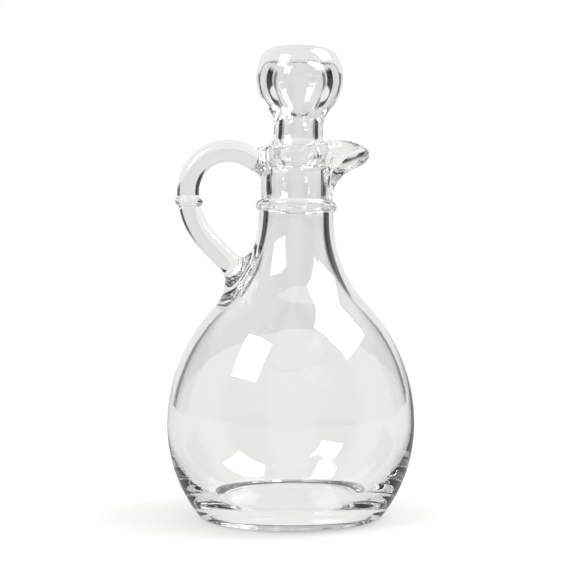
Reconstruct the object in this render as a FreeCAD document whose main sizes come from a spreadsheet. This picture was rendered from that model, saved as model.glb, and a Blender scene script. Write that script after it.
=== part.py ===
"""Oil cruet of clear glass: a round bottle with a pouring spout and a side handle, and its hollow stopper.

The foot stands on Z = 0 with its centre at the origin, +Z is up, the spout points to +X and the handle to -X.
Lengths are in millimetres and angles in degrees.
"""

import FreeCAD, Part
import math
import os
import Sketcher

SIZES = [
    # the bulb and its foot
    ("bulb_radius", 50.2, "outside radius at the widest level"),
    ("bulb_level", 37.5, "height of the widest level"),
    ("belt_height", 2.0, "half height of the ball-shaped band at the widest level"),
    ("foot_radius", 35.0, "radius of the circle that the bottle stands on"),
    ("foot_corner", 2.6, "rounding between the foot and the wall"),
    ("push_up_depth", 1.0, "hollow under the foot"),
    ("bearing_width", 5.0, "width of the ring that the bottle stands on"),
    # the shoulder and the neck
    ("lean", 1.5, "how far the neck leans towards the spout"),
    ("shoulder_curve", 69.5, "radius of the shoulder's curve, seen from the side"),
    ("neck_sweep", 49.0, "radius of the hollow curve from shoulder to neck"),
    ("neck_radius", 15.2, "outside radius of the neck below its bead"),
    ("bead_thickness", 4.4, "height of the bead"),
    ("bead_stand", 1.4, "how far the bead stands out from the neck below it"),
    ("collar_step", 0.7, "how much slimmer the neck is just above its bead"),
    ("rim_level", 149.4, "height of the rim"),
    ("bead_drop", 24.0, "distance of the bead's middle below the rim"),
    ("rim_depth", 3.4, "height of the thickened rim"),
    ("rim_stand", 1.7, "how much wider the rim is than the neck below its bead"),
    ("rim_step", 0.7, "how far the rim stands out from the neck"),
    ("rim_rounding", 1.2, "rounding of the rim's top edge"),
    # the inside
    ("wall", 3.0, "glass thickness of the bulb"),
    ("floor_level", 4.4, "height of the inside floor"),
    ("floor_radius", 25.0, "radius of the flat part of the inside floor"),
    ("floor_corner", 9.0, "rounding between the inside floor and the wall"),
    ("neck_wall", 3.4, "glass thickness of the neck below its bead"),
    ("bore_top_drop", 22.9, "distance below the rim where the neck's bore begins to narrow"),
    ("throat_step", 1.7, "how much the bore narrows at its narrowest place"),
    ("throat_drop", 17.4, "distance of the narrowest place below the rim"),
    ("seat_low_step", 0.8, "how much narrower than the bore the lower end of the stopper's seat is"),
    ("seat_low_drop", 9.9, "distance of that end below the rim"),
    ("seat_top_step", 0.6, "how much wider than the bore the upper end of the seat is"),
    ("seat_top_drop", 2.4, "distance of that end below the rim"),
    ("rim_wall", 2.4, "glass thickness of the rim"),
    # the spout
    ("spout_reach", 29.1, "distance of the spout's tip from the neck's axis"),
    ("spout_root_width", 21.0, "width of the spout inside the neck"),
    ("spout_root_drop", 2.0, "how far its top lies below the rim inside the neck"),
    ("spout_throat_width", 19.6, "width of the spout where it leaves the neck"),
    ("spout_throat_depth", 14.4, "depth of its underside below the rim there"),
    ("spout_throat_rise", 1.3, "height of its edges above the rim there"),
    ("spout_middle_width", 16.6, "width of the spout half way along"),
    ("spout_middle_depth", 9.5, "depth of its underside half way along"),
    ("spout_middle_rise", 2.6, "height of its edges half way along"),
    ("spout_lip_width", 11.6, "width of the spout near its tip"),
    ("spout_lip_depth", 6.4, "depth of its underside near its tip"),
    ("spout_lip_rise", 1.8, "height of its edges near its tip"),
    ("spout_nose_width", 6.8, "width of the spout at its nose"),
    ("spout_nose_depth", 4.1, "depth of its underside at its nose"),
    ("spout_nose_rise", 0.1, "height of its edges at its nose"),
    ("spout_tip_width", 3.0, "width of the spout's tip"),
    ("spout_tip_depth", 2.9, "depth of the tip's lower edge below the rim"),
    ("spout_tip_drop", 1.1, "depth of the tip's upper edge below the rim"),
    ("spout_wall", 2.7, "glass thickness of the spout's sides"),
    ("spout_lip_wall", 2.0, "glass thickness of the spout's sides near its tip"),
    ("channel_depth", 5.9, "depth of the pouring channel below the rim, where it leaves the neck"),
    ("channel_middle_depth", 3.1, "depth of the channel half way along"),
    ("channel_lip_depth", 1.2, "depth of the channel near the tip"),
    ("channel_end_rise", 1.0, "height of the channel's floor above the rim, past the tip"),
    # the handle
    ("handle_gap", 13.2, "distance from the neck to the centre of the handle's upper bend"),
    ("handle_drop", 17.1, "distance of that centre below the rim"),
    ("handle_root_drop", 7.2, "distance of the handle's middle below the rim, where it leaves the neck"),
    ("handle_bend", 16.3, "radius of the handle's upper bend"),
    ("handle_sweep", 30.5, "radius of the handle's lower bend"),
    ("handle_foot_rise", 52.2, "height of the handle's lower end above the widest level"),
    ("handle_thickness", 9.0, "thickness of the handle, seen from the side"),
    ("handle_width", 10.4, "thickness of the handle, seen from the end"),
    ("handle_bead_height", 3.4, "height of the bead round the handle"),
    ("handle_bead_reach", 1.1, "how far that bead stands out"),
    ("handle_bead_rounding", 0.9, "rounding of that bead's edges"),
    ("handle_bead_drop", 4.6, "distance of that bead below the centre of the upper bend"),
    ("handle_blend", 3.0, "rounding where the handle meets the shoulder"),
    ("web_curve", 15.7, "radius of the hollow curve from the neck to the handle's underside"),
    ("web_drop", 3.1, "distance of that curve's centre below the centre of the upper bend"),
    ("web_thickness", 5.0, "thickness of the glass that fills that corner"),
    ("web_width", 8.4, "width of the glass that fills that corner"),
    # the stopper
    ("knob_radius", 17.9, "outside radius of the knob"),
    ("knob_rise", 28.6, "height of the knob's widest place above the bottle's rim"),
    ("top_rise", 40.0, "height of the stopper's flat top above the bottle's rim"),
    ("top_rounding", 2.2, "rounding of the flat top's edge"),
    ("waist_step", 2.4, "how much slimmer the stopper's neck is than the top of its seat"),
    ("waist_curve", 9.0, "radius of the hollow curve under the knob"),
    ("waist_low_rise", 5.1, "height above the bottle's rim where the stopper widens again"),
    ("skirt_curve", 9.0, "radius of the hollow curve above the plug"),
    ("plug_foot_drop", 8.4, "distance of the plug's lower end below the bottle's rim"),
    ("plug_rounding", 0.9, "rounding of the plug's lower edges"),
    ("seat_clearance", 0.2, "gap between the plug and its seat"),
    ("knob_wall", 4.3, "glass thickness of the knob"),
    ("top_wall", 6.0, "glass thickness of the stopper's top"),
    ("waist_wall", 3.5, "glass thickness of the stopper's neck"),
    ("plug_bore_step", 3.0, "how much narrower than the seat's lower end the stopper's hollow is"),
]

VALUES = {name: value for name, value, meaning in SIZES}
FULL_TURN = 360.0
CUT_MARGIN = 5.0  # how far a cutting shape runs past what it cuts


# ---------------------------------------------------------------- document and sizes

doc = FreeCAD.newDocument("OilCruet")
sheet = doc.addObject("Spreadsheet::Sheet", "Sizes")
for row, (name, value, meaning) in enumerate(SIZES, start=1):
    sheet.set(f"A{row}", name)
    sheet.set(f"B{row}", str(value))
    sheet.set(f"C{row}", meaning)
    sheet.setAlias(f"B{row}", name)
doc.recompute()


BEAD_LEVEL = "Sizes.rim_level - Sizes.bead_drop"
BEAD_REACH = "(Sizes.neck_radius + Sizes.bead_stand)"
COLLAR_RADIUS = "(Sizes.neck_radius - Sizes.collar_step)"
RIM_LEVEL = "Sizes.rim_level"
RIM_RADIUS = "(Sizes.neck_radius + Sizes.rim_stand)"
NECK_BORE = "(Sizes.neck_radius - Sizes.neck_wall)"
THROAT_BORE = f"({NECK_BORE} - Sizes.throat_step)"
SEAT_LOW_BORE = f"({NECK_BORE} - Sizes.seat_low_step)"
SEAT_TOP_BORE = f"({NECK_BORE} + Sizes.seat_top_step)"
MOUTH_BORE = f"({RIM_RADIUS} - Sizes.rim_wall)"
KNOB_LEVEL = "Sizes.rim_level + Sizes.knob_rise"
STOPPER_TOP = "Sizes.rim_level + Sizes.top_rise"
WAIST_LOW_LEVEL = "Sizes.rim_level + Sizes.waist_low_rise"
PLUG_FOOT_LEVEL = "Sizes.rim_level - Sizes.plug_foot_drop"
SEAT_LOW_LEVEL = "Sizes.rim_level - Sizes.seat_low_drop"
SEAT_TOP_LEVEL = "Sizes.rim_level - Sizes.seat_top_drop"
WAIST_RADIUS = f"({SEAT_TOP_BORE} - Sizes.waist_step)"


def above_pivot(level):
    """The height of a level above the widest level, where the leaning upper part turns."""
    return f"{level} - Sizes.bulb_level"


def lean_shift(level):
    """How far the leaning axis stands to the side at a level."""
    return f"({above_pivot(level)}) * tan(Sizes.lean)"


def number(expression):
    """The value that an expression has now. It only starts a drawing, which its constraints then rule."""
    return float(sheet.evalExpression(expression))


# ---------------------------------------------------------------- sketching


def origin_plane(body, role):
    return next(item for item in body.Origin.OriginFeatures if item.Role == role)


def new_sketch(body, role, name):
    sketch = body.newObject("Sketcher::SketchObject", name)
    sketch.AttachmentSupport = [(origin_plane(body, role), "")]
    sketch.MapMode = "FlatFace"
    return sketch


def leaning_sketch(body, name):
    """A sketch in the plane of the handle and the spout, turned by the lean about the pivot."""
    sketch = new_sketch(body, "XZ_Plane", name)
    sketch.setExpression(".AttachmentOffset.Base.y", "Sizes.bulb_level")
    sketch.setExpression(".AttachmentOffset.Rotation.Angle", "-Sizes.lean")
    return sketch


def dimension(sketch, name, kind, where, expression):
    """Adds a named dimension and binds it to the sheet."""
    index = sketch.addConstraint(Sketcher.Constraint(kind, *where, number(expression)))
    sketch.renameConstraint(index, name)
    sketch.setExpression(f"Constraints.{name}", expression)


class Outline:
    """A chain of lines and arcs in a sketch. Each piece starts where the last one ends.

    A corner is pinned by expressions for its place across (x) and up (z), or follows from the tangents.
    """

    START, END, CENTRE = 1, 2, 3
    ORIGIN, UPRIGHT_AXIS = -1, -2

    def __init__(self, sketch, x, z):
        self.sketch = sketch
        self.here = (x, z)
        self.first = None
        self.last = None

    def follow(self, piece, start, end, smooth):
        if self.last:
            kind = "Tangent" if smooth else "Coincident"
            self.sketch.addConstraint(Sketcher.Constraint(kind, *self.last, piece, start))
        else:
            self.first = (piece, start)
        self.last = (piece, end)

    def pin(self, name, where, x, z):
        if x == "0":
            axis = Sketcher.Constraint("PointOnObject", *where, self.UPRIGHT_AXIS)
            self.sketch.addConstraint(axis)
        elif x:
            dimension(self.sketch, f"{name}_across", "DistanceX", (self.ORIGIN, 1, *where), x)
        if z == "0":
            axis = Sketcher.Constraint("PointOnObject", *where, self.ORIGIN)
            self.sketch.addConstraint(axis)
        elif z:
            dimension(self.sketch, f"{name}_up", "DistanceY", (self.ORIGIN, 1, *where), z)

    def line(self, name, x=None, z=None, guess=None, smooth=False, way=None):
        """A line to a corner. A way of Horizontal or Vertical stands in for one of its two expressions."""
        start = self.here
        at_x = number(x) if x else guess[0] if guess else start[0]
        at_z = number(z) if z else guess[1] if guess else start[1]
        piece = self.sketch.addGeometry(
            Part.LineSegment(FreeCAD.Vector(*start, 0), FreeCAD.Vector(at_x, at_z, 0))
        )
        self.follow(piece, self.START, self.END, smooth)
        self.here = (at_x, at_z)
        if way:
            self.sketch.addConstraint(Sketcher.Constraint(way, piece))
        self.pin(name, self.last, x, z)
        return piece

    def arc(self, name, centre, end, radius=None, clockwise=False, smooth=False, x=None, z=None):
        """An arc to a corner, drawn about a first guess of its centre."""
        start_angle = math.atan2(self.here[1] - centre[1], self.here[0] - centre[0])
        end_angle = math.atan2(end[1] - centre[1], end[0] - centre[0])
        size = math.dist(self.here, centre)
        circle = Part.Circle(FreeCAD.Vector(*centre, 0), FreeCAD.Vector(0, 0, 1), size)
        if clockwise:
            piece = self.sketch.addGeometry(Part.ArcOfCircle(circle, end_angle, start_angle))
            self.follow(piece, self.END, self.START, smooth)
        else:
            piece = self.sketch.addGeometry(Part.ArcOfCircle(circle, start_angle, end_angle))
            self.follow(piece, self.START, self.END, smooth)
        self.here = end
        if radius:
            dimension(self.sketch, f"{name}_radius", "Radius", (piece,), radius)
        self.pin(name, self.last, x, z)
        return piece

    def close(self):
        start = self.sketch.getPoint(*self.first)
        piece = self.sketch.addGeometry(
            Part.LineSegment(FreeCAD.Vector(*self.here, 0), FreeCAD.Vector(start.x, start.y, 0))
        )
        self.follow(piece, self.START, self.END, False)
        closing = Sketcher.Constraint("Coincident", *self.last, *self.first)
        self.sketch.addConstraint(closing)


def revolve(body, sketch, name, kind="Revolution"):
    turned = body.newObject(f"PartDesign::{kind}", name)
    turned.Profile = sketch
    turned.ReferenceAxis = (sketch, ["V_Axis"])
    turned.Angle = FULL_TURN
    doc.recompute()
    return turned


# ---------------------------------------------------------------- the round forms


def bowl(body, belt, base, flat, corner):
    """The lower half of the bulb, upright: a flat base, a rounded corner, one long curve and the belt."""
    sketch = new_sketch(body, "XZ_Plane", "BowlOutline")
    ball, base_z, flat_x, corner_r = (number(text) for text in (belt, base, flat, corner))
    pivot_z, band = VALUES["bulb_level"], VALUES["belt_height"]
    tilt = math.asin(band / ball)
    out = (math.cos(tilt), -math.sin(tilt))
    belt_foot = (ball * out[0], pivot_z + ball * out[1])
    corner_centre = (flat_x, base_z + corner_r)
    across = (belt_foot[0] - corner_centre[0], belt_foot[1] - corner_centre[1])
    reach = across[0] * out[0] + across[1] * out[1]
    curve_r = (across[0] ** 2 + across[1] ** 2 - corner_r**2) / (2 * (reach - corner_r))
    curve_centre = (belt_foot[0] - curve_r * out[0], belt_foot[1] - curve_r * out[1])
    away = math.dist(corner_centre, curve_centre)
    corner_end = tuple(
        centre + (centre - other) / away * corner_r for centre, other in zip(corner_centre, curve_centre)
    )

    chain = Outline(sketch, 0, base_z)
    chain.line("base", x=flat, guess=(flat_x, base_z), way="Horizontal")
    chain.pin("axis_foot", chain.first, "0", base)
    chain.arc("corner", corner_centre, corner_end, radius=corner, smooth=True)
    chain.arc("wall_curve", curve_centre, belt_foot, smooth=True, z="Sizes.bulb_level - Sizes.belt_height")
    belt_top = (belt_foot[0], pivot_z + band)
    band_arc = chain.arc(
        "belt", (0, pivot_z), belt_top, radius=belt, smooth=True, z="Sizes.bulb_level + Sizes.belt_height"
    )
    chain.pin("pivot", (band_arc, Outline.CENTRE), "0", "Sizes.bulb_level")
    chain.line("lid", x="0", guess=(0, belt_top[1]), way="Horizontal")
    chain.close()
    revolve(body, sketch, "Bowl")


def trim_bowl(body, belt):
    """Cuts the bowl off on the leaning plane, so that the leaning half meets it on one circle."""
    sketch = new_sketch(body, "XY_Plane", "TrimOutline")
    sketch.AttachmentOffset = FreeCAD.Placement(
        FreeCAD.Vector(0, 0, VALUES["bulb_level"]), FreeCAD.Rotation(FreeCAD.Vector(0, 1, 0), VALUES["lean"])
    )
    sketch.setExpression(".AttachmentOffset.Base.z", "Sizes.bulb_level")
    sketch.setExpression(".AttachmentOffset.Rotation.Angle", "Sizes.lean")
    radius = number(belt) + CUT_MARGIN
    circle = sketch.addGeometry(Part.Circle(FreeCAD.Vector(0, 0, 0), FreeCAD.Vector(0, 0, 1), radius))
    centred = Sketcher.Constraint("Coincident", circle, Outline.CENTRE, Outline.ORIGIN, 1)
    sketch.addConstraint(centred)
    dimension(sketch, "trim_radius", "Radius", (circle,), f"{belt} + {CUT_MARGIN}")
    trim = body.newObject("PartDesign::Pocket", "Trim")
    trim.Profile = sketch
    trim.setExpression("Length", "Sizes.bulb_radius")
    trim.Reversed = True
    doc.recompute()


def shoulder_chain(body, belt, shoulder, sweep, neck):
    """Starts the leaning outline: the belt's upper half, the shoulder and the hollow sweep up to the neck."""
    sketch = leaning_sketch(body, "ShoulderOutline")
    ball, shoulder_r, sweep_r, neck_x = (number(text) for text in (belt, shoulder, sweep, neck))
    tilt = math.asin(VALUES["belt_height"] / ball)
    out = (math.cos(tilt), math.sin(tilt))
    belt_end = (ball * out[0], ball * out[1])
    shoulder_centre = (belt_end[0] - shoulder_r * out[0], belt_end[1] - shoulder_r * out[1])
    side = neck_x + sweep_r - shoulder_centre[0]
    sweep_z = shoulder_centre[1] + math.sqrt((shoulder_r + sweep_r) ** 2 - side**2)
    sweep_centre = (neck_x + sweep_r, sweep_z)
    share = shoulder_r / (shoulder_r + sweep_r)
    shoulder_end = tuple(a + (b - a) * share for a, b in zip(shoulder_centre, sweep_centre))

    chain = Outline(sketch, 0, 0)
    chain.line("plane", x=belt, z="0", guess=(ball, 0))
    chain.pin("pivot", chain.first, "0", "0")
    band_arc = chain.arc("belt", (0, 0), belt_end, z="Sizes.belt_height")
    centred = Sketcher.Constraint("Coincident", band_arc, Outline.CENTRE, Outline.ORIGIN, 1)
    sketch.addConstraint(centred)
    chain.arc("shoulder", shoulder_centre, shoulder_end, radius=shoulder, smooth=True)
    chain.arc("sweep", sweep_centre, (neck_x, sweep_z), radius=sweep, clockwise=True, smooth=True)
    return chain


# ---------------------------------------------------------------- the bottle


def glass_shoulder(body):
    """The leaning outside: shoulder, neck with its bead, and the thickened rim."""
    chain = shoulder_chain(
        body, "Sizes.bulb_radius", "Sizes.shoulder_curve", "Sizes.neck_sweep", "Sizes.neck_radius"
    )
    bead_radius = VALUES["bead_thickness"] / 2
    bead_x = number(BEAD_REACH) - bead_radius
    bead_z = number(above_pivot(BEAD_LEVEL))
    neck_x, collar_x = VALUES["neck_radius"], number(COLLAR_RADIUS)
    low = bead_z - math.sqrt(bead_radius**2 - (neck_x - bead_x) ** 2)
    high = bead_z + math.sqrt(bead_radius**2 - (collar_x - bead_x) ** 2)
    chain.line("neck", guess=(neck_x, low), smooth=True, x="Sizes.neck_radius", way="Vertical")
    bead = chain.arc(
        "bead", (bead_x, bead_z), (collar_x, high), radius="Sizes.bead_thickness / 2", x=COLLAR_RADIUS
    )
    bead_across = f"{BEAD_REACH} - Sizes.bead_thickness / 2"
    chain.pin("bead_centre", (bead, Outline.CENTRE), bead_across, above_pivot(BEAD_LEVEL))
    rim_foot = f"{above_pivot(RIM_LEVEL)} - Sizes.rim_depth"
    chain.line("collar", x=f"{RIM_RADIUS} - Sizes.rim_step", z=rim_foot)
    chain.line("rim_foot", x=RIM_RADIUS, z=f"{rim_foot} + Sizes.rim_step / 2")
    chain.line("rim_side", z=above_pivot(RIM_LEVEL), way="Vertical")
    chain.line("rim_top", x="0", guess=(0, chain.here[1]), way="Horizontal")
    chain.close()
    shoulder = revolve(body, chain.sketch, "Shoulder")
    edges = edges_where(
        shoulder.Shape,
        lambda box: box.ZMin > VALUES["rim_level"] - 1 and box.XLength > number(RIM_RADIUS),
    )
    fillet(body, shoulder, "RimRounding", edges, "Sizes.rim_rounding")


def edges_where(shape, test):
    return [f"Edge{count}" for count, edge in enumerate(shape.Edges, start=1) if test(edge.BoundBox)]


def fillet(body, feature, name, edges, radius):
    rounding = body.newObject("PartDesign::Fillet", name)
    rounding.Base = (feature, edges)
    rounding.Radius = number(radius)
    rounding.setExpression("Radius", radius)
    doc.recompute()
    return rounding


def trough_section(body, name, along, half_width, centre, top):
    """A cross-section of the spout or of its channel: a half round below, upright sides and a flat top."""
    sketch = new_sketch(body, "YZ_Plane", name)
    sketch.setExpression(".AttachmentOffset.Base.z", f"{lean_shift(RIM_LEVEL)} + {along}")
    radius, middle, lid = number(half_width), number(centre), number(top)
    chain = Outline(sketch, -radius, middle)
    round_part = chain.arc("round", (0, middle), (radius, middle), radius=half_width)
    chain.pin("round_centre", (round_part, Outline.CENTRE), "0", centre)
    chain.line("right", guess=(radius, lid), smooth=True, z=top)
    chain.line("lid", guess=(-radius, lid), way="Horizontal")
    chain.close()
    centre, left, right = ((round_part, vertex) for vertex in (Outline.CENTRE, Outline.START, Outline.END))
    sketch.addConstraint(Sketcher.Constraint("Horizontal", *left, *right))
    sketch.addConstraint(Sketcher.Constraint("Horizontal", *centre, *right))
    sketch.addConstraint(Sketcher.Constraint("Vertical", chain.last[0]))
    return sketch


def spout_sections(body, name, rows):
    return [trough_section(body, f"{name}{count}", *row) for count, row in enumerate(rows, start=1)]


def loft(body, name, sections):
    lofted = body.newObject("PartDesign::AdditiveLoft", name)
    lofted.Profile = sections[0]
    lofted.Sections = sections[1:]
    doc.recompute()
    return lofted


ROOT, THROAT, MIDDLE, LIP, NOSE = (f"Sizes.spout_reach * {share}" for share in (0.07, 0.5, 0.69, 0.86, 0.965))


def trough_row(along, half_width, depth, top):
    """The values of a trough section whose lowest point lies at a depth below the rim."""
    return along, half_width, f"Sizes.rim_level - ({depth}) + {half_width}", f"Sizes.rim_level + ({top})"


def spout(body):
    """The outside of the spout. It grows out of the neck and ends in a small round tip."""
    rows = [
        trough_row(ROOT, "Sizes.spout_root_width / 2", "Sizes.spout_throat_depth", "-Sizes.spout_root_drop"),
    ]
    for along, part in ((THROAT, "throat"), (MIDDLE, "middle"), (LIP, "lip"), (NOSE, "nose")):
        size = f"Sizes.spout_{part}"
        rows.append(trough_row(along, f"{size}_width / 2", f"{size}_depth", f"{size}_rise"))
    tip = ("Sizes.spout_tip_width / 2", "Sizes.spout_tip_depth", "-Sizes.spout_tip_drop")
    rows.append(trough_row("Sizes.spout_reach", *tip))
    loft(body, "Spout", spout_sections(body, "SpoutSection", rows))


def channel(body):
    """The pouring channel, from the mouth to the lip. It is open above."""
    open_top = f"Sizes.spout_middle_rise + {CUT_MARGIN}"
    past_tip = f"Sizes.spout_reach + {CUT_MARGIN}"
    root, throat, middle = (
        f"(Sizes.spout_{place}_width / 2 - Sizes.spout_wall)" for place in ("root", "throat", "middle")
    )
    lip = "(Sizes.spout_lip_width / 2 - Sizes.spout_lip_wall)"
    rows = [
        trough_row(ROOT, root, "Sizes.channel_depth", open_top),
        trough_row(THROAT, throat, "Sizes.channel_depth", open_top),
        trough_row(MIDDLE, middle, "Sizes.channel_middle_depth", open_top),
        trough_row(LIP, lip, "Sizes.channel_lip_depth", open_top),
        trough_row(past_tip, lip, "-Sizes.channel_end_rise", open_top),
    ]
    loft(body, "Channel", spout_sections(body, "ChannelSection", rows))


def cavity_shoulder(body):
    """The leaning inside: shoulder, neck bore, throat, the stopper's seat and the open mouth."""
    chain = shoulder_chain(
        body,
        "Sizes.bulb_radius - Sizes.wall",
        "Sizes.shoulder_curve - Sizes.wall",
        "Sizes.neck_sweep + Sizes.neck_wall",
        NECK_BORE,
    )
    top = above_pivot("Sizes.rim_level - Sizes.bore_top_drop")
    chain.line("bore", x=NECK_BORE, z=top, smooth=True, way="Vertical")
    chain.line("throat", x=THROAT_BORE, z=above_pivot("Sizes.rim_level - Sizes.throat_drop"))
    chain.line("seat_foot", x=SEAT_LOW_BORE, z=above_pivot(SEAT_LOW_LEVEL))
    chain.line("seat", x=SEAT_TOP_BORE, z=above_pivot(SEAT_TOP_LEVEL))
    chain.line("mouth", x=MOUTH_BORE, z=above_pivot(RIM_LEVEL))
    chain.line("above", z=f"{above_pivot(RIM_LEVEL)} + {CUT_MARGIN}", way="Vertical")
    chain.line("open_top", x="0", guess=(0, chain.here[1]), way="Horizontal")
    chain.close()
    revolve(body, chain.sketch, "InnerShoulder")


HANDLE_CENTRE_X = f"{lean_shift(RIM_LEVEL)} - Sizes.neck_radius - Sizes.handle_gap"
HANDLE_CENTRE_Z = "Sizes.rim_level - Sizes.handle_drop"
HANDLE_ROOT_X = f"{lean_shift(RIM_LEVEL)} - {SEAT_TOP_BORE}"
HANDLE_ROOT_Z = "Sizes.rim_level - Sizes.handle_root_drop"
HANDLE_FOOT_X = f"-{NECK_BORE}"
HANDLE_FOOT_Z = "Sizes.bulb_level + Sizes.handle_foot_rise"
WEB_CENTRE_X = f"{lean_shift(BEAD_LEVEL)} - {COLLAR_RADIUS} - Sizes.web_curve + Sizes.rim_step / 2"
WEB_CENTRE_Z = f"{HANDLE_CENTRE_Z} - Sizes.web_drop"
WEB_TURN = 92.0  # degrees from level, from the neck's wall round to the middle of the handle


def sweep_touch(centre, radius, foot):
    """Where the straight line from the foot touches the lower bend."""
    across, up = foot[0] - centre[0], foot[1] - centre[1]
    turn = math.atan2(up, across) - math.acos(radius / math.hypot(across, up))
    return centre[0] + radius * math.cos(turn), centre[1] + radius * math.sin(turn)


def handle_path(body):
    """The line down the middle of the handle, from inside the neck down into the shoulder."""
    sketch = new_sketch(body, "XZ_Plane", "HandlePath")
    x, z = number(HANDLE_CENTRE_X), number(HANDLE_CENTRE_Z)
    bend, sweep = VALUES["handle_bend"], VALUES["handle_sweep"]
    root = (number(HANDLE_ROOT_X), number(HANDLE_ROOT_Z))
    turn = math.atan2(root[1] - z, root[0] - x) + math.acos(bend / math.dist(root, (x, z)))
    bend_start = (x + bend * math.cos(turn), z + bend * math.sin(turn))
    sweep_centre = (x - bend + sweep, z)
    foot = (number(HANDLE_FOOT_X), number(HANDLE_FOOT_Z))
    sweep_end = sweep_touch(sweep_centre, sweep, foot)

    chain = Outline(sketch, *root)
    chain.line("root", guess=bend_start)
    chain.pin("root_start", chain.first, HANDLE_ROOT_X, HANDLE_ROOT_Z)
    upper = chain.arc("bend", (x, z), (x - bend, z), radius="Sizes.handle_bend", smooth=True)
    chain.pin("bend_centre", (upper, Outline.CENTRE), HANDLE_CENTRE_X, HANDLE_CENTRE_Z)
    lower = chain.arc("sweep", sweep_centre, sweep_end, radius="Sizes.handle_sweep", smooth=True)
    sketch.addConstraint(Sketcher.Constraint("Horizontal", upper, Outline.CENTRE, lower, Outline.CENTRE))
    chain.line("foot", smooth=True, x=HANDLE_FOOT_X, z=HANDLE_FOOT_Z)
    return sketch, turn, sweep_end


def oval(sketch, name, width, height):
    """An ellipse about the sketch's origin, its named sizes across and up."""
    wide, tall = number(width) / 2, number(height) / 2
    across_is_longer = wide >= tall
    long_end = FreeCAD.Vector(wide, 0, 0) if across_is_longer else FreeCAD.Vector(0, tall, 0)
    short_end = FreeCAD.Vector(0, tall, 0) if across_is_longer else FreeCAD.Vector(-wide, 0, 0)
    ring = sketch.addGeometry(Part.Ellipse(long_end, short_end, FreeCAD.Vector(0, 0, 0)))
    sketch.exposeInternalGeometry(ring)
    long_axis, short_axis = ring + 1, ring + 2
    sketch.addConstraint(Sketcher.Constraint("Coincident", ring, Outline.CENTRE, Outline.ORIGIN, 1))
    sketch.addConstraint(Sketcher.Constraint("Horizontal" if across_is_longer else "Vertical", long_axis))
    sizes = (width, height) if across_is_longer else (height, width)
    dimension(sketch, f"{name}_long", "Distance", (long_axis,), sizes[0])
    dimension(sketch, f"{name}_short", "Distance", (short_axis,), sizes[1])


def handle(body):
    """The handle: an oval bar along its path, and the bead that goes round it level with the neck's bead."""
    path, turn, sweep_end = handle_path(body)
    section = new_sketch(body, "YZ_Plane", "HandleSection")
    tilt = 90 - math.degrees(turn)
    section.AttachmentOffset = FreeCAD.Placement(
        FreeCAD.Vector(0, number(HANDLE_ROOT_Z), number(HANDLE_ROOT_X)),
        FreeCAD.Rotation(FreeCAD.Vector(1, 0, 0), tilt),
    )
    section.setExpression(".AttachmentOffset.Base.y", HANDLE_ROOT_Z)
    section.setExpression(".AttachmentOffset.Base.z", HANDLE_ROOT_X)
    oval(section, "section", "Sizes.handle_width", "Sizes.handle_thickness")
    bar = body.newObject("PartDesign::AdditivePipe", "Handle")
    bar.Profile = section
    bar.Spine = (path, [f"Edge{count}" for count in range(1, 5)])
    doc.recompute()
    blend_handle(body, sweep_end[1])


def handle_web(body):
    """The glass that rounds off the corner between the neck and the handle's underside."""
    path = new_sketch(body, "XZ_Plane", "WebPath")
    x, z = number(WEB_CENTRE_X), number(WEB_CENTRE_Z)
    radius = number("Sizes.web_curve + Sizes.web_thickness / 2")
    turn = math.radians(WEB_TURN)
    circle = Part.Circle(FreeCAD.Vector(x, z, 0), FreeCAD.Vector(0, 0, 1), radius)
    arc = path.addGeometry(Part.ArcOfCircle(circle, 0, turn))
    place = (Outline.ORIGIN, 1, arc, Outline.CENTRE)
    dimension(path, "centre_across", "DistanceX", place, WEB_CENTRE_X)
    dimension(path, "centre_up", "DistanceY", place, WEB_CENTRE_Z)
    dimension(path, "path_radius", "Radius", (arc,), "Sizes.web_curve + Sizes.web_thickness / 2")
    path.addConstraint(Sketcher.Constraint("Horizontal", arc, Outline.CENTRE, arc, Outline.START))
    end = (arc, Outline.CENTRE, arc, Outline.END)
    web_middle = "(Sizes.web_curve + Sizes.web_thickness / 2)"
    dimension(path, "end_across", "DistanceX", end, f"cos({WEB_TURN}) * {web_middle}")
    section = new_sketch(body, "XY_Plane", "WebSection")
    start_x = f"{WEB_CENTRE_X} + Sizes.web_curve + Sizes.web_thickness / 2"
    section.AttachmentOffset = FreeCAD.Placement(
        FreeCAD.Vector(number(start_x), 0, number(WEB_CENTRE_Z)), FreeCAD.Rotation()
    )
    section.setExpression(".AttachmentOffset.Base.x", start_x)
    section.setExpression(".AttachmentOffset.Base.z", WEB_CENTRE_Z)
    oval(section, "section", "Sizes.web_thickness", "Sizes.web_width")
    web = body.newObject("PartDesign::AdditivePipe", "HandleWeb")
    web.Profile = section
    web.Spine = (path, ["Edge1"])
    doc.recompute()


def blend_handle(body, foot_top):
    """Rounds off the joint where the handle runs into the shoulder."""
    edges = edges_where(
        body.Tip.Shape,
        lambda box: box.XMax < 0
        and VALUES["bulb_level"] < box.ZMin
        and box.ZMax < foot_top - VALUES["handle_thickness"] / 2
        and box.YLength > VALUES["handle_width"] * 0.9,
    )
    fillet(body, body.Tip, "HandleBlend", edges, "Sizes.handle_blend")


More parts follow.
